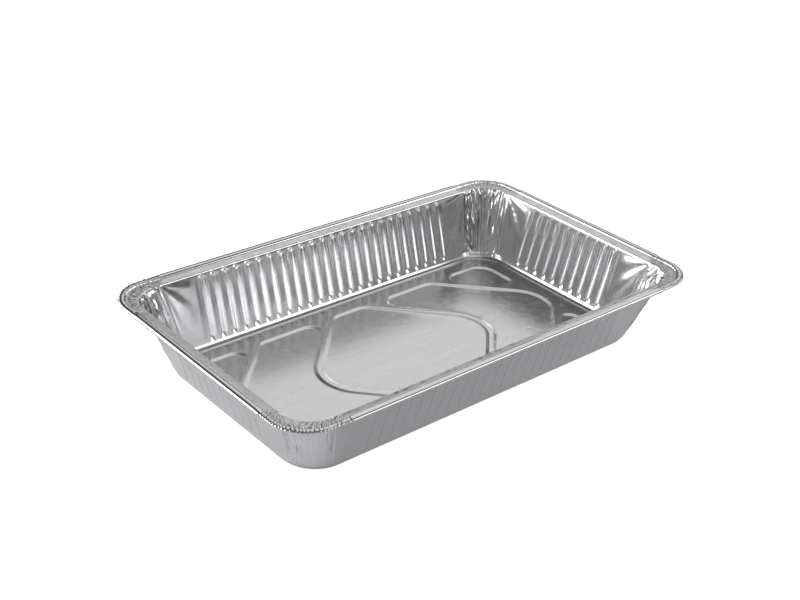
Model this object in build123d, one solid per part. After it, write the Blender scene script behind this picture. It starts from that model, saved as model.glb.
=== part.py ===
from build123d import *
import os
from math import asin, cos, degrees, hypot, radians, sin, tan

# Full-size (gastronorm 1/1) aluminium foil tray, pressed from one sheet of foil.
# Frame: origin on the table under the tray's middle, X along the long sides, Z up. Millimetres.

FOIL = 0.11  # sheet thickness

# Rim: a level ledge round the mouth, then a raised bead whose outer edge is rolled under.
RIM_LENGTH = 527.0
RIM_WIDTH = 325.0
RIM_CORNER_R = 40.5
HEIGHT = 82.0
BEAD_WIDTH = 9.5
BEAD_HEIGHT = 2.8
BEAD_RISER_TOP = (1.7, 1.5)  # out from the bead's inner foot, and up
BEAD_CROWN_X = 4.6
SHOULDER_R = 8.0
ROLL_R = 2.0
CURL_R = 1.2
LEDGE_Z = HEIGHT - BEAD_HEIGHT

# Pan: tapering walls from the foot up to the mouth, the ledge's inner edge.
MOUTH_LENGTH = 490.0
MOUTH_WIDTH = 291.0
MOUTH_CORNER_R = 31.5
MOUTH_Z = 78.4
FOOT_LENGTH = 445.0
FOOT_WIDTH = 245.0
FOOT_CORNER_R = 37.0
FOOT_FILLET = 8.5
MOUTH_FILLET = 1.6
LEDGE_LEVEL = 1.0  # the ledge's last stretch, level with the bead's foot

# Base: recessed panels with raised ridges between them.
PANEL_DEPTH = 1.5
PANEL_SLOPE = 4.5  # width of the slope from a panel's floor up to the ridge
PANEL_EDGE_Y = 98.0
PANEL_END_X = 199.0
RIDGE_HALF = 6.2  # from a ridge's centreline to the panel floors beside it
RIDGE_BEND_R = 44.0
INNER_RIDGE_X, INNER_RIDGE_ANGLE = 122.3, 46.0  # where the ridge's line meets the X axis
OUTER_RIDGE_X, OUTER_RIDGE_ANGLE = 223.0, 45.0
MIDDLE_PANEL_R = 15.0
SIDE_PANEL_R = 11.0
END_PANEL_R = 9.0
END_PANEL_CORNER_R = 18.0

# Ribs: flutes that bulge outwards, from the foot to just under the mouth.
RIB_PITCH = 14.0
RIB_WIDTH = 7.4
RIB_DEPTH = 1.3
RIB_TOP_Z = 74.0
RIB_FOOT_Z = 8.0
LONG_SIDE_RIBS = 24
SHORT_SIDE_RIBS = 10

# Corner pleats, where the gathered foil is folded: tapered on the wall, straight on the ledge.
PLEATS = 9
PLEAT_SPREAD = 78.0  # degrees round the corner
PLEAT_FOOT_Z = 14.0
PLEAT_TOP_Z = 76.6
PLEAT_TOP_R = 1.5
PLEAT_FOOT_R = 0.2
LEDGE_PLEAT_R = 1.3
LEDGE_PLEAT_DEPTH = 0.7
LEDGE_PLEAT_START = 3.0  # outwards from the mouth's arc
LEDGE_PLEAT_LENGTH = 7.5

BASE_Z = PANEL_DEPTH  # underside of the foot and ridges: the panels stand on the table


def rounded(length, width, radius, z):
    """A rounded rectangle at height z."""
    return Plane.XY.offset(z) * RectangleRounded(length, width, radius)


def grown(outward):
    """How much wider and longer a section gets when its walls move out by that much."""
    lean = hypot(MOUTH_WIDTH - FOOT_WIDTH, 2 * (MOUTH_Z - BASE_Z)) / (2 * (MOUTH_Z - BASE_Z))
    return 2 * outward * lean


def pan_space(inside):
    """The space under one face of the sheet: its inside face, or its outside one."""
    out = 0.0 if inside else FOIL
    up = FOIL if inside else 0.0
    wide = grown(out)
    foot_z, mouth_z, ledge_z = BASE_Z + up, MOUTH_Z + up - FOIL, LEDGE_Z + up - FOIL
    level_length = RIM_LENGTH - 2 * BEAD_WIDTH
    level_width = RIM_WIDTH - 2 * BEAD_WIDTH
    level_r = RIM_CORNER_R - BEAD_WIDTH
    foot = rounded(FOOT_LENGTH + wide, FOOT_WIDTH + wide, FOOT_CORNER_R + out, foot_z)
    mouth = rounded(MOUTH_LENGTH + wide, MOUTH_WIDTH + wide, MOUTH_CORNER_R + out, mouth_z)
    inset = 2 * LEDGE_LEVEL
    ledge = rounded(level_length - inset, level_width - inset, level_r - LEDGE_LEVEL, ledge_z)
    level = rounded(level_length, level_width, level_r, ledge_z)
    walls = loft([foot, mouth], ruled=True)
    walls = fillet(walls.faces().sort_by(Axis.Z)[0].edges(), FOOT_FILLET + out)
    shelf = loft([mouth, ledge], ruled=True)
    room = extrude(level, HEIGHT - LEDGE_Z)
    space = walls + shelf + room
    at_mouth = [
        edge
        for edge in space.edges()
        if abs(edge.bounding_box().min.Z - mouth_z) < FOIL / 4
        and abs(edge.bounding_box().max.Z - mouth_z) < FOIL / 4
    ]
    return fillet(at_mouth, MOUTH_FILLET - out)


def rib_tool(side, along, inside):
    """One flute, lying in the wall on that side: 'long' is +Y, 'short' is +X."""
    radius = (RIB_WIDTH**2 / 4 + RIB_DEPTH**2) / (2 * RIB_DEPTH)
    foot_at = (FOOT_WIDTH if side == "long" else FOOT_LENGTH) / 2
    mouth_at = (MOUTH_WIDTH if side == "long" else MOUTH_LENGTH) / 2
    run, rise = mouth_at - foot_at, MOUTH_Z - BASE_Z
    slope = hypot(run, rise)
    inwards = radius - RIB_DEPTH
    foot_at -= inwards * rise / slope
    top_at = foot_at + run * (RIB_TOP_Z - BASE_Z) / rise
    lift = inwards * run / slope
    if side == "long":
        low, high = Vector(along, foot_at, BASE_Z + lift), Vector(along, top_at, RIB_TOP_Z + lift)
    else:
        low, high = Vector(foot_at, along, BASE_Z + lift), Vector(top_at, along, RIB_TOP_Z + lift)
    direction = (high - low).normalized()
    low += direction * (radius + RIB_FOOT_Z - BASE_Z)
    high -= direction * radius
    radius += 0.0 if inside else FOIL
    flute = Solid.make_cylinder(radius, (high - low).length, Plane(low, z_dir=direction))
    return flute + Pos(*low) * Sphere(radius) + Pos(*high) * Sphere(radius)


def pleat_tools(turn, inside):
    """A pleat down the corner wall and its run across the ledge, at an angle round the corner."""
    out = 0.0 if inside else FOIL
    outward = Vector(cos(radians(turn)), sin(radians(turn)), 0)
    foot = Vector(FOOT_LENGTH / 2 - FOOT_CORNER_R, FOOT_WIDTH / 2 - FOOT_CORNER_R, BASE_Z)
    mouth = Vector(MOUTH_LENGTH / 2 - MOUTH_CORNER_R, MOUTH_WIDTH / 2 - MOUTH_CORNER_R, MOUTH_Z)
    foot += outward * FOOT_CORNER_R
    mouth += outward * MOUTH_CORNER_R
    low = foot + (mouth - foot) * ((PLEAT_FOOT_Z - BASE_Z) / (MOUTH_Z - BASE_Z))
    high = foot + (mouth - foot) * ((PLEAT_TOP_Z - BASE_Z) / (MOUTH_Z - BASE_Z))
    line = high - low
    on_wall = Solid.make_cone(
        PLEAT_FOOT_R + out, PLEAT_TOP_R + out, line.length + out, Plane(low, z_dir=line)
    )
    start = mouth + outward * (LEDGE_PLEAT_START - out)
    start.Z = LEDGE_Z + LEDGE_PLEAT_R - LEDGE_PLEAT_DEPTH
    on_ledge = Solid.make_cylinder(
        LEDGE_PLEAT_R + out, LEDGE_PLEAT_LENGTH + 2 * out, Plane(start, z_dir=outward)
    )
    return [on_wall, on_ledge]


def ridge_offset(axis_x, angle, offset, y):
    """X of the line beside a slanting ridge, offset from its centreline, at that y."""
    return axis_x + offset / sin(radians(angle)) - y / tan(radians(angle))


def panel_outlines():
    """The floors of the recessed panels: middle, two sides and four ends."""
    inner, outer = (INNER_RIDGE_X, INNER_RIDGE_ANGLE), (OUTER_RIDGE_X, OUTER_RIDGE_ANGLE)
    edge_y = PANEL_EDGE_Y

    tip = ridge_offset(*inner, -RIDGE_HALF, 0)
    top = ridge_offset(*inner, -RIDGE_HALF, edge_y)
    middle = make_face(
        Polyline(
            (tip, 0), (top, edge_y), (-top, edge_y),
            (-tip, 0), (-top, -edge_y), (top, -edge_y), close=True,
        )
    )
    tips = middle.vertices().filter_by(lambda v: abs(v.Y) < 1)
    middle = fillet(tips, RIDGE_BEND_R - RIDGE_HALF)
    middle = fillet(middle.vertices().filter_by(lambda v: abs(v.Y) > edge_y - 1), MIDDLE_PANEL_R)

    near_tip = ridge_offset(*inner, RIDGE_HALF, 0)
    near_top = ridge_offset(*inner, RIDGE_HALF, edge_y)
    far_tip = ridge_offset(*outer, -RIDGE_HALF, 0)
    far_top = ridge_offset(*outer, -RIDGE_HALF, edge_y)
    side = make_face(
        Polyline(
            (near_tip, 0), (near_top, edge_y), (far_top, edge_y),
            (far_tip, 0), (far_top, -edge_y), (near_top, -edge_y), close=True,
        )
    )
    near = side.vertices().filter_by(lambda v: abs(v.Y) < 1).sort_by(Axis.X)[0]
    side = fillet(near, RIDGE_BEND_R + RIDGE_HALF)
    far = side.vertices().filter_by(lambda v: abs(v.Y) < 1).sort_by(Axis.X)[-1]
    side = fillet(far, RIDGE_BEND_R - RIDGE_HALF)
    side = fillet(side.vertices().filter_by(lambda v: abs(v.Y) > edge_y - 1), SIDE_PANEL_R)

    end_top = ridge_offset(*outer, RIDGE_HALF, edge_y)
    end_low = (ridge_offset(*outer, RIDGE_HALF, 0) - PANEL_END_X) * tan(radians(outer[1]))
    end = make_face(
        Polyline((end_top, edge_y), (PANEL_END_X, edge_y), (PANEL_END_X, end_low), close=True)
    )
    end = fillet(end.vertices().sort_by(lambda v: v.X + v.Y)[:2], END_PANEL_R)
    end = fillet(end.vertices().sort_by(lambda v: v.X + v.Y)[-1], END_PANEL_CORNER_R)

    sides = [side, side.mirror(Plane.YZ)]
    ends = [end, end.mirror(Plane.YZ), end.mirror(Plane.XZ), end.mirror(Plane.YZ).mirror(Plane.XZ)]
    return [middle, *sides, *ends]


def panel_tool(outline, inside):
    """A panel's hollow below the ridges, with sloping sides."""
    floor_z = FOIL if inside else 0.0
    floor = Pos(0, 0, floor_z) * outline
    top = Pos(0, 0, floor_z + PANEL_DEPTH) * offset(outline, PANEL_SLOPE)
    return loft([floor.face(), top.face()], ruled=True) + extrude(top.face(), PANEL_DEPTH)


def face_of_sheet(inside):
    """Everything above one face of the pressed sheet, up to the bead."""
    tools = []
    for side, ribs in (("long", LONG_SIDE_RIBS), ("short", SHORT_SIDE_RIBS)):
        mirror = Plane.XZ if side == "long" else Plane.YZ
        for k in range(ribs):
            flute = rib_tool(side, (k - (ribs - 1) / 2) * RIB_PITCH, inside)
            tools += [flute, flute.mirror(mirror)]
    for k in range(PLEATS):
        turn = 45 + PLEAT_SPREAD * (k / (PLEATS - 1) - 0.5)
        for pleat in pleat_tools(turn, inside):
            left = pleat.mirror(Plane.YZ)
            tools += [pleat, left, pleat.mirror(Plane.XZ), left.mirror(Plane.XZ)]
    tools += [panel_tool(outline, inside) for outline in panel_outlines()]
    return pan_space(inside).fuse(*[solid for tool in tools for solid in tool.solids()])


def bead():
    """The raised bead with its rolled edge, swept round the rim."""
    top = (BEAD_CROWN_X, BEAD_HEIGHT)
    riser = Polyline((0, 0), (0.6, 0), BEAD_RISER_TOP)
    crown = TangentArc(top, BEAD_RISER_TOP, tangent=(-1, 0))
    turn = degrees(asin((BEAD_WIDTH - BEAD_CROWN_X - ROLL_R) / (SHOULDER_R - ROLL_R)))
    shoulder = JernArc(top, (1, 0), SHOULDER_R, -turn)
    roll = JernArc(shoulder @ 1, shoulder % 1, ROLL_R, turn - 180)
    curl = JernArc(roll @ 1, roll % 1, CURL_R, -100)
    line = Wire([*riser.edges(), *crown.edges(), *shoulder.edges(), *roll.edges(), *curl.edges()])
    section = make_face(line.offset_2d(FOIL, side=Side.LEFT))
    length, width = RIM_LENGTH - 2 * BEAD_WIDTH, RIM_WIDTH - 2 * BEAD_WIDTH
    path = rounded(length, width, RIM_CORNER_R - BEAD_WIDTH, LEDGE_Z).wire()
    outward = Vector(0, 0, -1).cross(path % 0)
    place = Plane(path @ 0, x_dir=outward, z_dir=outward.cross(Vector(0, 0, 1)))
    return sweep(place * section, path=path)


def tray():
    """The whole pressed sheet: the skin between its two faces, with the bead round it."""
    return face_of_sheet(inside=False) - face_of_sheet(inside=True) + bead()


os.makedirs("parts", exist_ok=True)
export_step(tray(), "parts/tray.step")
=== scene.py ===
from math import asin, cos, hypot, pi, radians, sin, tan

import bpy
import numpy as np
from mathutils import Matrix, Vector
from mathutils.geometry import delaunay_2d_cdt


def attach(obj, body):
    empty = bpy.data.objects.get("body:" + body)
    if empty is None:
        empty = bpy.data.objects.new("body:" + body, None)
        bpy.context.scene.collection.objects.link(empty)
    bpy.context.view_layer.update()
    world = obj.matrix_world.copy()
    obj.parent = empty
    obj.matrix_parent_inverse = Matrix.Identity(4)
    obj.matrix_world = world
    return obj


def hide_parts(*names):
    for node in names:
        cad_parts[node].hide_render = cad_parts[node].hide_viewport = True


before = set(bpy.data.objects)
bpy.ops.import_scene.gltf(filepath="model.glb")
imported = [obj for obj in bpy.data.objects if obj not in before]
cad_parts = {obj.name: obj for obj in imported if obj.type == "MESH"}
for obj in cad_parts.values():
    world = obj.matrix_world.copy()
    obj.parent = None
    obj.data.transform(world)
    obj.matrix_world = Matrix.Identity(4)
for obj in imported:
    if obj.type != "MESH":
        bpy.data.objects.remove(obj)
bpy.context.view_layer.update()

# ---------------------------------------------------------------- the tray, in millimetres
FOIL = 0.11
HEIGHT = 82.0
HALF_X, HALF_Y, RIM_R = 263.45, 162.45, 40.45
BEAD_W, BEAD_H = 9.5, 2.8
LEDGE_Z = HEIGHT - BEAD_H
MOUTH = (245.0, 145.5, 31.5)  # half length, half width, corner radius
MOUTH_Z = 78.4
FOOT = (222.5, 122.5, 37.0)
BASE_Z = 1.5 + FOIL  # the top of the sheet at the foot, between the panels
FOOT_R = 8.5
MOUTH_R = 1.6
DRAFT = asin((MOUTH[0] - FOOT[0]) / hypot(MOUTH[0] - FOOT[0], MOUTH_Z - BASE_Z))

PITCH, RIB_HALF, RIB_DEPTH = 14.0, 3.7, 1.3
LONG_RIBS, SHORT_RIBS = 24, 10
RIB_TOP, RIB_FOOT, RIB_CAP = 71.5, 13.0, 5.0  # where the rounded ends start, and their length
LONG_END = LONG_RIBS * PITCH / 2 + 3.0  # the ribbed stretch's end, where the corner zone starts
SHORT_END = SHORT_RIBS * PITCH / 2 + 3.0

CORNER_MM = 133.0  # length of a corner zone at the mouth
CRUMPLE = 0.22  # half of the gathered part, as a share of the zone
CORNER_STOPS = (0.0, 0.19, 0.81, 1.0)  # smooth, crumpled, smooth
CORNER_COUNTS = (9, 100, 9)  # columns in each

PANEL_DEPTH, SLOPE = 1.5, 4.5  # how far the base's panels go down, and how wide their sides are
EDGE_Y, END_X = 98.0, 199.0  # where the panels end
RIDGE_HALF, BEND_R = 6.2, 44.0  # half the width of a ridge, and the radius where it turns
INNER, OUTER = (122.3, radians(46.0)), (223.0, radians(45.0))  # ridges: X where Y is 0, and slant


def smooth(x):
    x = np.clip(x, 0.0, 1.0)
    return x * x * (3 - 2 * x)


# -------------------------------------------------------- repeatable noise, lattice and folds
LATTICE = np.random.default_rng(7).random((256, 256)) * 2 - 1


def noise(x, y, seed=0):
    """Smooth value noise from -1 to 1."""
    x = np.asarray(x, float) + 37.7 * seed
    y = np.asarray(y, float) + 11.3 * seed
    xi, yi = np.floor(x).astype(int), np.floor(y).astype(int)
    fx, fy = smooth(x - xi), smooth(y - yi)
    a, b = LATTICE[xi % 256, yi % 256], LATTICE[(xi + 1) % 256, yi % 256]
    c, d = LATTICE[xi % 256, (yi + 1) % 256], LATTICE[(xi + 1) % 256, (yi + 1) % 256]
    return (a * (1 - fx) + b * fx) * (1 - fy) + (c * (1 - fx) + d * fx) * fy


def fold(x):
    """A zigzag from -1 to 1 with period 1, its tips a little rounded."""
    x = np.abs((x % 1.0) * 2 - 1) * 2 - 1
    return x * (1.15 - 0.15 * x * x)


# ------------------------------------------------------------------- columns round the tray
def zone_columns(kind, spacing):
    """Parameters along a zone: millimetres on a side, 0 to 1 round a corner."""
    if kind in ("long", "short"):
        ribs = LONG_RIBS if kind == "long" else SHORT_RIBS
        end = LONG_END if kind == "long" else SHORT_END
        if spacing == "fine":
            over = np.array([-1.0, -0.84, -0.6, -0.32, 0.0, 0.32, 0.6, 0.84, 1.0]) * RIB_HALF
            centres = (np.arange(ribs) - (ribs - 1) / 2) * PITCH
            at = (centres[:, None] + over[None, :]).ravel()
        else:
            at = np.linspace(-end, end, int(2 * end / 12.0) + 1)[1:-1]
        return np.concatenate([[-end], at, [end]])
    ends = CORNER_STOPS
    out = [np.array([0.0])]
    for (a, b), n in zip(zip(ends[:-1], ends[1:]), CORNER_COUNTS):
        out.append(np.linspace(a, b, n + 1)[1:])
    return np.concatenate(out)


ZONES = (
    ("short", 1, 1, 1),
    ("corner", 1, 1, -1),
    ("long", 1, 1, -1),
    ("corner", -1, 1, 1),
    ("short", -1, 1, -1),
    ("corner", -1, -1, -1),
    ("long", 1, -1, 1),
    ("corner", 1, -1, 1),
)  # kind, side in X, side in Y, which way its parameter runs, counterclockwise from the right


def columns(spacing):
    """Every column round the tray: kind, signs, parameter and place in the ring."""
    kinds, sx, sy, t, ring = [], [], [], [], []
    start = 0.0
    for kind, zx, zy, way in ZONES:
        at = zone_columns(kind, spacing)
        span = {"long": 2 * LONG_END, "short": 2 * SHORT_END, "corner": CORNER_MM}[kind]
        at = at if way > 0 else at[::-1]
        place = (at - at[0]) / (at[-1] - at[0]) * span
        at, place = at[:-1], place[:-1]
        kinds += [kind] * len(at)
        sx += [zx] * len(at)
        sy += [zy] * len(at)
        t += list(at)
        ring += list(place + start)
        start += span
    return dict(
        kind=np.array(kinds), sx=np.array(sx), sy=np.array(sy), t=np.array(t),
        ring=np.array(ring), total=start,
    )


def plan(cols, a, b, r):
    """Points and outward directions on the rounded rectangle of half sizes a, b and radius r."""
    n = len(cols["t"])
    p, out = np.zeros((n, 2)), np.zeros((n, 2))
    is_long, is_short = cols["kind"] == "long", cols["kind"] == "short"
    p[is_long] = np.stack([cols["t"][is_long], cols["sy"][is_long] * b], 1)
    out[is_long] = np.stack([0 * cols["t"][is_long], cols["sy"][is_long]], 1)
    p[is_short] = np.stack([cols["sx"][is_short] * a, cols["t"][is_short]], 1)
    out[is_short] = np.stack([cols["sx"][is_short], 0 * cols["t"][is_short]], 1)
    c = cols["kind"] == "corner"
    first, arc, last = a - r - LONG_END, pi * r / 2, b - r - SHORT_END
    at = cols["t"][c] * (first + arc + last)
    turn = np.clip((at - first) / arc, 0, 1) * pi / 2  # 0 on the long side, 90 degrees on the short
    x = np.where(at < first, LONG_END + at, a - r + r * np.sin(turn))
    y = np.where(at > first + arc, SHORT_END + (first + arc + last - at), b - r + r * np.cos(turn))
    x = np.where(at > first + arc, a, x)
    y = np.where(at < first, b, y)
    sx, sy = cols["sx"][c], cols["sy"][c]
    p[c] = np.stack([sx * x, sy * y], 1)
    out[c] = np.stack([sx * np.sin(turn), sy * np.cos(turn)], 1)
    return p, out


# ------------------------------------------------------------------------------ the profile
def profile():
    """Rows from the foot to the rolled edge: half sizes, radius, height, normal and part."""
    rows = []
    tangent = FOOT_R / tan((pi / 2 + DRAFT) / 2)
    for turn in np.linspace(0, pi / 2 - DRAFT, 7):
        d = -tangent + FOOT_R * sin(turn)
        z = BASE_Z + FOOT_R * (1 - cos(turn))
        rows.append((FOOT[0] + d, FOOT[1] + d, FOOT[2] + d, z, "foot"))
    rise = MOUTH_Z - BASE_Z
    low = tangent * cos(DRAFT) / rise
    high = 1 - MOUTH_R * tan((pi / 2 - DRAFT) / 2) * cos(DRAFT) / rise
    heights = [8.4, 9.6, 11, 13, *range(18, 61, 6), 65, 70, 71.8, 73.2, 74.2, 75.0, 75.9]
    for z in heights:
        s = (z - BASE_Z) / rise
        if low < s < high:
            rows.append((*(f + (m - f) * s for f, m in zip(FOOT, MOUTH)), z, "wall"))
    s = high
    at_wall = [f + (m - f) * s for f, m in zip(FOOT, MOUTH)]
    centre = (at_wall[0] + MOUTH_R * cos(DRAFT), MOUTH_Z - MOUTH_R)
    for turn in np.linspace(DRAFT, pi / 2, 4):
        d = centre[0] - MOUTH_R * cos(turn) - MOUTH[0]
        z = BASE_Z + rise * s + MOUTH_R * (sin(turn) - sin(DRAFT))
        rows.append((MOUTH[0] + d, MOUTH[1] + d, MOUTH[2] + d, z, "mouth"))
    a0, b0, r0, z0, _ = rows[-1]
    level = (HALF_X - BEAD_W - 1.0, HALF_Y - BEAD_W - 1.0, RIM_R - BEAD_W - 1.0, LEDGE_Z)
    for s in (0.2, 0.45, 0.7, 1.0):
        rows.append((*(p + (q - p) * s for p, q in zip((a0, b0, r0, z0), level)), "ledge"))
    bead = [(0.0, 0.0), (0.55, 0.05), (0.95, 0.35), (1.35, 1.0), (1.8, 1.7)]
    bead += [(2.5, 2.26), (3.5, 2.66), (4.6, 2.8)]
    shoulder, roll, curl = 8.0, 2.0, 1.2
    turn = asin((BEAD_W - 4.6 - roll) / (shoulder - roll))
    for s in (0.5, 1):
        bead.append((4.6 + shoulder * sin(turn * s), 2.8 - shoulder * (1 - cos(turn * s))))
    centre = (BEAD_W - roll, 2.8 - shoulder + (shoulder - roll) * cos(turn))
    for angle in np.linspace(turn, pi, 8)[1:]:
        bead.append((centre[0] + roll * sin(angle), centre[1] + roll * cos(angle)))
    centre = (BEAD_W - roll, bead[-1][1] + curl)
    for angle in (radians(50), radians(100)):
        bead.append((centre[0] - curl * sin(angle), centre[1] - curl * cos(angle)))
    for x, y in bead:
        a, b, r = HALF_X - BEAD_W + x, HALF_Y - BEAD_W + x, RIM_R - BEAD_W + x
        rows.append((a, b, r, LEDGE_Z + y, "bead"))
    line = np.array([(row[0], row[3]) for row in rows])
    along = np.gradient(line, axis=0)
    along /= np.linalg.norm(along, axis=1)[:, None]
    back = np.stack([along[:, 1], -along[:, 0]], 1)  # towards the sheet's outside face
    return rows, back


# --------------------------------------------------------------------------- relief fields
def ribs(cols, z, part):
    """How far the flutes push the wall out."""
    x = cols["t"]
    side = cols["kind"] != "corner"
    count = np.where(cols["kind"] == "long", LONG_RIBS, SHORT_RIBS)
    phase = x / PITCH - np.where(count % 2 == 0, 0.5, 0.0)
    off = (phase - np.round(phase)) * PITCH
    r2 = (off / RIB_HALF) ** 2 + (max(0.0, z - RIB_TOP, RIB_FOOT - z) / RIB_CAP) ** 2
    h = RIB_DEPTH * np.clip(1 - r2, 0, 1)
    h = np.where(side & (np.abs(x) < count * PITCH / 2), h, 0.0)
    if part == "mouth":
        r2 = (off / (RIB_HALF * 0.9)) ** 2
        h = np.where(side & (np.abs(x) < count * PITCH / 2), 0.3 * np.clip(1 - r2, 0, 1), 0.0)
        return h * smooth((MOUTH_Z + 0.1 - z) / 0.5)
    return h if part in ("foot", "wall") else h * 0


def sail_folds(along, down):
    """Soft folds that fan out of the corner's top over the smooth wall beside it."""
    reach = np.hypot(along, down)
    angle = np.degrees(np.arctan2(np.maximum(down, 0.0), np.maximum(along, 0.01)))
    wave = 0.5 + 0.5 * np.cos(np.radians((angle - 20.0) * 360.0 / 34.0))
    wave = wave * (0.35 + 0.65 * smooth((angle - 25.0) / 25.0))  # weaker close under the mouth
    wave = wave * smooth(angle / 14.0) * smooth((88.0 - angle) / 14.0)
    return -0.04 * reach * smooth(reach / 12.0) * wave * smooth((62.0 - reach) / 40.0)


def corner_relief(cols, z, part):
    """Gathered foil at the corners, positive towards the outside face."""
    c = cols["kind"] == "corner"
    t = cols["t"]
    seed = np.where(cols["sx"] > 0, 1, 2) + np.where(cols["sy"] > 0, 0, 2)
    mm = (t - 0.5) * CORNER_MM
    up = np.clip((z - BASE_Z) / (MOUTH_Z - BASE_Z), 0, 1)
    off = np.abs(t - 0.5)
    if part in ("foot", "wall", "mouth"):
        zone = smooth((CRUMPLE - off) / 0.022)
        drift = 0.9 * noise(mm / 14.0, z / 30.0, seed + 3)
        warp = drift + 0.6 * noise(mm / 7.0, z / 13.0, seed)
        warp = warp + 0.4 * noise(mm / 2.6, z / 6.0, seed + 5)
        big = fold(mm / 7.0 + warp + 0.2 * seed)
        small = fold(mm / 3.4 - 1.4 * warp + 0.37 * seed)
        weight = smooth(0.5 + 1.3 * noise(mm / 8.0, z / 20.0, seed + 9)) * smooth((z - 8.0) / 30.0)
        fade = smooth(up * 2.6 + 0.1) * (0.65 + 0.35 * up)
        h = (1.35 * big * (1 - 0.6 * weight) + 0.7 * small * weight) * fade * zone
        # the sharp fold at the edge of the gathers, and the smooth wall beside it
        edge = (off - CRUMPLE) * CORNER_MM
        h = h - 1.0 * np.exp(-((edge / 1.5) ** 2)) * smooth(up * 3.0) * (1.15 - 0.5 * up)
        sail = smooth(edge / 2.0) * smooth((0.5 - off) * CORNER_MM / 6.0)
        h = h + sail * sail_folds(edge, MOUTH_Z - 1.0 - z) * smooth(up * 4.0)
        if part == "mouth":
            h = h * 0.55
    elif part == "ledge":
        zone = smooth((CRUMPLE + 0.07 - off) / 0.05)
        warp = 0.4 * noise(mm / 6.0, 3.0 * z, seed + 2)
        h = zone * (0.95 * fold(mm / 4.4 + warp) + 0.45 * fold(mm / 2.3 - warp))
    else:
        zone = smooth((CRUMPLE + 0.1 - off) / 0.05)
        warp = 0.4 * noise(mm / 5.0, 0.25 * z, seed + 4)
        h = zone * (0.85 + 0.5 * fold(mm / 3.0 + warp) + 0.33 * fold(mm / 2.0 - warp))
    return np.where(c, h, 0.0)


def build_sheet():
    rows, back = profile()
    fine, coarse = columns("fine"), columns("coarse")
    rings, verts = [], []
    count = 0
    for (a, b, r, z, part), n in zip(rows, back):
        cols = fine if part in ("foot", "wall", "mouth") else coarse
        p, out = plan(cols, a, b, r)
        h = ribs(cols, z, part) + corner_relief(cols, z, part)
        v = np.zeros((len(p), 3))
        level_out = n[0]
        if part == "foot":
            v[:, :2] = p + out * h[:, None]
            v[:, 2] = z
        else:
            v[:, :2] = p + out * (h * level_out)[:, None]
            v[:, 2] = z + h * n[1]
        verts.append(v)
        rings.append((count, len(v), cols))
        count += len(v)
    faces = []
    for (s0, n0, c0), (s1, n1, c1) in zip(rings[:-1], rings[1:]):
        if c0 is c1:
            for i in range(n0):
                j = (i + 1) % n0
                faces.append((s0 + i, s0 + j, s1 + j, s1 + i))
        else:
            faces += stitch(s0, c0, s1, c1)
    return np.concatenate(verts), faces, rings


def stitch(s0, c0, s1, c1):
    """Triangles between two closed rows with different columns."""
    r0 = np.append(c0["ring"], c0["total"])
    r1 = np.append(c1["ring"], c1["total"])
    n0, n1 = len(r0) - 1, len(r1) - 1
    i = j = 0
    out = []
    while i < n0 or j < n1:
        if j >= n1 or (i < n0 and r0[i + 1] <= r1[j + 1]):
            out.append((s0 + i % n0, s0 + (i + 1) % n0, s1 + j % n1))
            i += 1
        else:
            out.append((s0 + i % n0, s1 + (j + 1) % n1, s1 + j % n1))
            j += 1
    return out


# --------------------------------------------------------------------------------- the base
def rounded_polygon(corners, step=2.6):
    """Points and outward normals round a polygon given as (x, y, radius), counterclockwise."""
    pts, nrm = [], []
    n = len(corners)
    q = [np.array(c[:2]) for c in corners]
    for i in range(n):
        prev, here, nxt = q[i - 1], q[i], q[(i + 1) % n]
        radius = corners[i][2]
        d0 = (here - prev) / np.linalg.norm(here - prev)
        d1 = (nxt - here) / np.linalg.norm(nxt - here)
        n0, n1 = np.array([d0[1], -d0[0]]), np.array([d1[1], -d1[0]])
        cross = d0[0] * d1[1] - d0[1] * d1[0]
        sign = 1.0 if cross > 0 else -1.0
        angle = np.arccos(np.clip(d0 @ d1, -1, 1))
        cut = radius * tan(angle / 2)
        centre = here - d0 * cut - sign * n0 * radius
        count = max(4, int(radius * angle / step))
        for k in range(count + 1):
            turn = sign * angle * k / count
            c, s = cos(turn), sin(turn)
            m = np.array([n0[0] * c - n0[1] * s, n0[0] * s + n0[1] * c])
            pts.append(centre + sign * m * radius)
            nrm.append(m)
        end = here + d1 * cut
        after = corners[(i + 1) % n]
        d2 = (q[(i + 2) % n] - nxt) / np.linalg.norm(q[(i + 2) % n] - nxt)
        turn_next = np.arccos(np.clip(d1 @ d2, -1, 1))
        stop = nxt - d1 * after[2] * tan(turn_next / 2)
        length = np.linalg.norm(stop - end)
        count = max(1, int(length / 9.0))
        for k in range(1, count):
            pts.append(end + (stop - end) * k / count)
            nrm.append(n1)
    return np.array(pts), np.array(nrm)


def beside(line, offset, y):
    """X on the line beside a slanting ridge, offset from its centreline, at that y."""
    return line[0] + offset / sin(line[1]) - y / tan(line[1])


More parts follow.
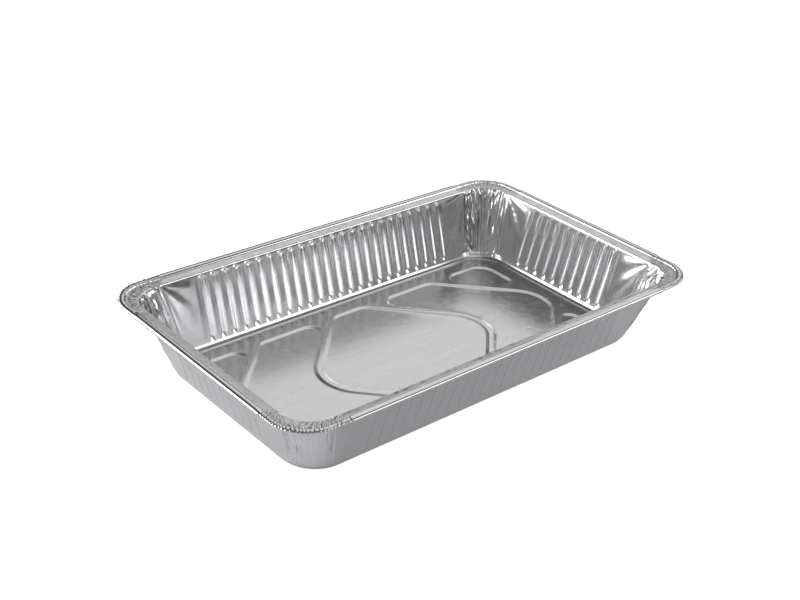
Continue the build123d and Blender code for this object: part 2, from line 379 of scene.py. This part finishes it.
def panels():
    h = RIDGE_HALF
    tip, top = beside(INNER, -h, 0), beside(INNER, -h, EDGE_Y)
    middle = [
        (tip, 0, BEND_R - h), (top, EDGE_Y, 15), (-top, EDGE_Y, 15),
        (-tip, 0, BEND_R - h), (-top, -EDGE_Y, 15), (top, -EDGE_Y, 15),
    ]
    near, near_top = beside(INNER, h, 0), beside(INNER, h, EDGE_Y)
    far, far_top = beside(OUTER, -h, 0), beside(OUTER, -h, EDGE_Y)
    side = [
        (far, 0, BEND_R - h), (far_top, EDGE_Y, 11), (near_top, EDGE_Y, 11),
        (near, 0, BEND_R + h), (near_top, -EDGE_Y, 11), (far_top, -EDGE_Y, 11),
    ]
    end_top = beside(OUTER, h, EDGE_Y)
    end_low = (beside(OUTER, h, 0) - END_X) * tan(OUTER[1])
    end = [(end_top, EDGE_Y, 9), (END_X, end_low, 9), (END_X, EDGE_Y, 18)]
    out = [middle]
    out += [side, [(-x, y, r) for x, y, r in side][::-1]]
    for sx in (1, -1):
        for sy in (1, -1):
            flipped = [(sx * x, sy * y, r) for x, y, r in end]
            out.append(flipped if sx * sy > 0 else flipped[::-1])
    return out


def slope_height(s):
    """A straight slope from 0 to 1 with its two ends rounded."""
    t = min(s, 1 - s)
    low = t * t / 0.34 if t < 0.17 else t - 0.085
    return (low if s < 0.5 else 0.83 - low) / 0.83


def build_base(ring):
    """The base inside the foot's first row: ridges, slopes and panel floors."""
    pts, heights, edges = [tuple(p) for p in ring[:, :2]], list(ring[:, 2]), []
    n = len(pts)
    edges += [(i, (i + 1) % n) for i in range(n)]
    steps = np.array([0.0, 0.08, 0.17, 0.5, 0.83, 0.92, 1.0])
    floors = []
    for corners in panels():
        p, m = rounded_polygon(corners)
        floors.append(p)
        for s in steps:
            start = len(pts)
            q = p + m * SLOPE * s
            pts += [tuple(x) for x in q]
            heights += [FOIL + PANEL_DEPTH * slope_height(s)] * len(q)
            edges += [(start + i, start + (i + 1) % len(q)) for i in range(len(q))]
    # loose points on the flats, a little scattered in plan, each at its flat's height
    step = 9.0
    for i, x in enumerate(np.arange(-212, 212.1, step)):
        for y in np.arange(-112, 112.1, step):
            x2, y2 = x + 1.7 * float(noise(x, y, 3)), y + 1.7 * float(noise(x, y, 4))
            level = flat_level(x2, y2, floors)
            if level is not None:
                pts.append((x2, y2))
                heights.append(level)
    co, _, tris, origin, _, _ = delaunay_2d_cdt([Vector(p) for p in pts], edges, [], 0, 1e-6)
    z = [np.mean([heights[k] for k in o]) if o else FOIL for o in origin]
    co = np.array([(c.x, c.y, zz) for c, zz in zip(co, z)])
    keep = []
    for f in tris:
        m = co[list(f), :2].mean(0)
        a, b, r = abs(m[0]), abs(m[1]), FOOT[2] - 6.4
        ca, cb = FOOT[0] - 6.2 - r, FOOT[1] - 6.2 - r
        if a > ca and b > cb and hypot(a - ca, b - cb) > r:
            continue
        keep.append(tuple(f))
    return co, keep, origin


def inside_polygon(x, y, poly):
    px, py = poly[:, 0], poly[:, 1]
    qx, qy = np.roll(px, -1), np.roll(py, -1)
    crosses = ((py > y) != (qy > y)) & (x < (qx - px) * (y - py) / (qy - py + 1e-12) + px)
    return crosses.sum() % 2 == 1


def flat_level(x, y, floors):
    """The height of a flat at a point, or None on or near a slope or outside the foot."""
    for poly in floors:
        d = np.hypot(poly[:, 0] - x, poly[:, 1] - y).min()
        if inside_polygon(x, y, poly):
            return FOIL if d > 5.5 else None
        if d < SLOPE + 3.5:
            return None
    a, b, r = FOOT[0] - 9.0, FOOT[1] - 9.0, FOOT[2] - 9.0
    dx, dy = max(abs(x) - (a - r), 0), max(abs(y) - (b - r), 0)
    return BASE_Z if hypot(dx, dy) < r else None


def make_tray():
    verts, faces, rings = build_sheet()
    ring_n = rings[0][1]
    base_co, base_faces, origin = build_base(verts[:ring_n])
    # the base's boundary points are the sheet's first row
    index = {}
    extra = []
    for i, o in enumerate(origin):
        hit = [k for k in o if k < ring_n]
        if hit:
            index[i] = hit[0]
        else:
            index[i] = len(verts) + len(extra)
            extra.append(base_co[i])
    verts = np.concatenate([verts, np.array(extra)])
    faces = [tuple(reversed(f)) for f in faces] + [tuple(index[k] for k in f) for f in base_faces]
    # the other face of the sheet, one foil's thickness behind
    skin = bpy.data.meshes.new("skin")
    skin.from_pydata(verts.tolist(), [], faces)
    skin.update()
    normals = np.zeros(len(verts) * 3)
    skin.vertices.foreach_get("normal", normals)
    normals = normals.reshape(-1, 3)
    bpy.data.meshes.remove(skin)
    n = len(verts)
    behind = verts - normals * FOIL
    lip_start, lip_n, _ = rings[-1]
    lip = []
    for i in range(lip_n):
        here, after = lip_start + i, lip_start + (i + 1) % lip_n
        lip.append((here, after, n + after, n + here))
    every = faces + [tuple(n + k for k in reversed(f)) for f in faces] + [tuple(f) for f in lip]
    mesh = bpy.data.meshes.new("foil_tray")
    mesh.from_pydata((np.concatenate([verts, behind]) / 1000).tolist(), [], every)
    mesh.validate()
    mesh.update()
    piece = bpy.data.objects.new("foil_tray", mesh)
    bpy.context.collection.objects.link(piece)
    for poly in mesh.polygons:
        poly.use_smooth = True
    return piece


# -------------------------------------------------------------------------------- materials
def foil_material():
    """Rolled foil: satin metal with a fine grain along X, faint mottling and small dents."""
    m = bpy.data.materials.new("foil")
    m.use_nodes = True
    nt = m.node_tree
    bsdf = nt.nodes["Principled BSDF"]
    bsdf.inputs["Metallic"].default_value = 1.0

    def node(kind, **values):
        n = nt.nodes.new(kind)
        for key, value in values.items():
            n.inputs[key.replace("_", " ")].default_value = value
        return n

    def link(a, out, b, into):
        nt.links.new(a.outputs[out], b.inputs[into])

    def noise_at(scale, detail, stretch=(1, 1, 1)):
        place = node("ShaderNodeMapping", Scale=stretch)
        link(where, "Object", place, "Vector")
        n = node("ShaderNodeTexNoise", Scale=scale, Detail=detail)
        link(place, "Vector", n, "Vector")
        return n

    def ranged(source, low, high, out_low, out_high):
        n = nt.nodes.new("ShaderNodeMapRange")
        n.inputs["From Min"].default_value = low
        n.inputs["From Max"].default_value = high
        n.inputs["To Min"].default_value = out_low
        n.inputs["To Max"].default_value = out_high
        link(source, "Fac", n, "Value")
        return n

    where = nt.nodes.new("ShaderNodeTexCoord")
    grain = noise_at(700.0, 3.0, (0.02, 1, 1))
    bands = noise_at(90.0, 2.0, (0.05, 1, 1))
    mottle = noise_at(110.0, 3.0)
    dents = noise_at(38.0, 2.0)

    rough = nt.nodes.new("ShaderNodeMath")
    rough.operation = "ADD"
    link(ranged(mottle, 0.35, 0.65, 0.21, 0.26), "Result", rough, 0)
    link(ranged(bands, 0.35, 0.65, -0.01, 0.02), "Result", rough, 1)
    # the drawn walls are smoother than the flat base
    part = nt.nodes.new("ShaderNodeSeparateXYZ")
    link(where, "Object", part, "Vector")
    drawn = nt.nodes.new("ShaderNodeMapRange")
    drawn.inputs["From Min"].default_value = 0.002
    drawn.inputs["From Max"].default_value = 0.010
    drawn.inputs["To Min"].default_value = 1.0
    drawn.inputs["To Max"].default_value = 0.62
    link(part, "Z", drawn, "Value")
    worn = nt.nodes.new("ShaderNodeMath")
    worn.operation = "MULTIPLY"
    link(rough, "Value", worn, 0)
    link(drawn, "Result", worn, 1)
    # the ledge is dull and mottled again
    above, below = nt.nodes.new("ShaderNodeMapRange"), nt.nodes.new("ShaderNodeMapRange")
    for n, low, high in ((above, 0.0779, 0.0783), (below, 0.0797, 0.0793)):
        n.inputs["From Min"].default_value = low
        n.inputs["From Max"].default_value = high
        link(part, "Z", n, "Value")
    ledge = nt.nodes.new("ShaderNodeMath")
    ledge.operation = "MULTIPLY"
    link(above, "Result", ledge, 0)
    link(below, "Result", ledge, 1)
    dull = nt.nodes.new("ShaderNodeMath")
    dull.operation = "MULTIPLY"
    link(ledge, "Value", dull, 0)
    link(ranged(noise_at(160.0, 2.0), 0.35, 0.65, 0.1, 0.4), "Result", dull, 1)
    final = nt.nodes.new("ShaderNodeMath")
    link(worn, "Value", final, 0)
    link(dull, "Value", final, 1)
    link(final, "Value", bsdf, "Roughness")

    tone = nt.nodes.new("ShaderNodeMix")
    tone.data_type = "RGBA"
    tone.inputs["A"].default_value = (0.83, 0.83, 0.845, 1)
    tone.inputs["B"].default_value = (0.90, 0.90, 0.91, 1)
    nt.links.new(ranged(grain, 0.3, 0.7, 0.0, 1.0).outputs["Result"], tone.inputs["Factor"])
    nt.links.new(tone.outputs["Result"], bsdf.inputs["Base Color"])

    fine = node("ShaderNodeBump", Strength=0.15, Distance=0.00001)
    link(grain, "Fac", fine, "Height")
    soft = node("ShaderNodeBump", Strength=0.12, Distance=0.0001)
    link(dents, "Fac", soft, "Height")
    link(soft, "Normal", fine, "Normal")
    link(fine, "Normal", bsdf, "Normal")
    return m


tray = make_tray()
tray.data.materials.append(foil_material())
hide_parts("tray")
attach(tray, "root")


# ------------------------------------------------------------------------- stage and camera
def stage():
    bpy.ops.mesh.primitive_plane_add(size=80, location=(0, 0, 0))
    floor = bpy.context.object
    floor.name = "floor"
    m = bpy.data.materials.new("floor")
    m.use_nodes = True
    nt = m.node_tree
    b = nt.nodes["Principled BSDF"]
    b.inputs["Base Color"].default_value = (0.88, 0.88, 0.89, 1)
    b.inputs["Roughness"].default_value = 0.9
    b.inputs["Specular IOR Level"].default_value = 0.2
    seen = nt.nodes.new("ShaderNodeLightPath")
    white = nt.nodes.new("ShaderNodeEmission")
    white.inputs["Strength"].default_value = 0.85
    both = nt.nodes.new("ShaderNodeAddShader")
    pick = nt.nodes.new("ShaderNodeMixShader")
    nt.links.new(b.outputs[0], both.inputs[0])
    nt.links.new(white.outputs[0], both.inputs[1])
    nt.links.new(seen.outputs["Is Camera Ray"], pick.inputs[0])
    nt.links.new(b.outputs[0], pick.inputs[1])
    nt.links.new(both.outputs[0], pick.inputs[2])
    nt.links.new(pick.outputs[0], nt.nodes["Material Output"].inputs["Surface"])
    floor.data.materials.append(m)


def softbox(name, azimuth, elevation, distance, size, power):
    """An area light that way from the tray, facing it."""
    az, el = radians(azimuth), radians(elevation)
    at = Vector((cos(az) * cos(el), sin(az) * cos(el), sin(el))) * distance
    light = bpy.data.lights.new(name, "AREA")
    light.shape = "RECTANGLE"
    light.size, light.size_y = size
    light.energy = power
    o = bpy.data.objects.new(name, light)
    o.location = at
    o.rotation_euler = (-at).to_track_quat("-Z", "Y").to_euler()
    bpy.context.collection.objects.link(o)


stage()
softbox("left_box", 138, 24, 2.2, (2.0, 1.3), 32)
softbox("right_box", 316, 27, 2.2, (2.2, 0.75), 13)

# soft patches of the room: azimuth, elevation, half angle at full strength, half angle where
# the patch ends, strength
PATCHES = ((36, 47, 23, 31, 0.64), (205, 22, 25, 50, 0.16), (270, 55, 15, 32, 0.4))
ROOM = 0.07

world = bpy.data.worlds.new("world")
world.use_nodes = True
nt = world.node_tree
way = nt.nodes.new("ShaderNodeTexCoord")
total = nt.nodes.new("ShaderNodeValue")
total.outputs[0].default_value = ROOM
for azimuth, elevation, full, gone, strength in PATCHES:
    az, el = radians(azimuth), radians(elevation)
    near = nt.nodes.new("ShaderNodeVectorMath")
    near.operation = "DOT_PRODUCT"
    near.inputs[1].default_value = (cos(az) * cos(el), sin(az) * cos(el), sin(el))
    nt.links.new(way.outputs["Generated"], near.inputs[0])
    level = nt.nodes.new("ShaderNodeMapRange")
    level.interpolation_type = "SMOOTHSTEP"
    level.inputs["From Min"].default_value = cos(radians(gone))
    level.inputs["From Max"].default_value = cos(radians(full))
    level.inputs["To Max"].default_value = strength
    nt.links.new(near.outputs["Value"], level.inputs["Value"])
    add = nt.nodes.new("ShaderNodeMath")
    nt.links.new(total.outputs[0], add.inputs[0])
    nt.links.new(level.outputs["Result"], add.inputs[1])
    total = add
nt.links.new(total.outputs[0], nt.nodes["Background"].inputs["Strength"])
nt.nodes["Background"].inputs["Color"].default_value = (1, 1, 1, 1)
bpy.context.scene.world = world
bpy.context.scene.view_settings.view_transform = "Standard"

# the camera: where it stands, what it looks at, and its roll
AZIMUTH, ELEVATION, ROLL = radians(-41.48), radians(28.46), radians(3.01)
AIM = Vector((-0.0024, 0.0134, 0.0555))
DISTANCE = 1.349
right = Vector((cos(AZIMUTH), sin(AZIMUTH), 0))
backward = Vector((sin(AZIMUTH) * cos(ELEVATION), -cos(AZIMUTH) * cos(ELEVATION), sin(ELEVATION)))
up = backward.cross(right)
right, up = cos(ROLL) * right + sin(ROLL) * up, cos(ROLL) * up - sin(ROLL) * right
turn = Matrix((right, up, backward)).transposed()
lens = bpy.data.cameras.new("camera")
lens.lens = 58.52
lens.sensor_width = 36.0
camera = bpy.data.objects.new("camera", lens)
camera.matrix_world = Matrix.Translation(AIM + backward * DISTANCE) @ turn.to_4x4()
bpy.context.collection.objects.link(camera)
bpy.context.scene.camera = camera
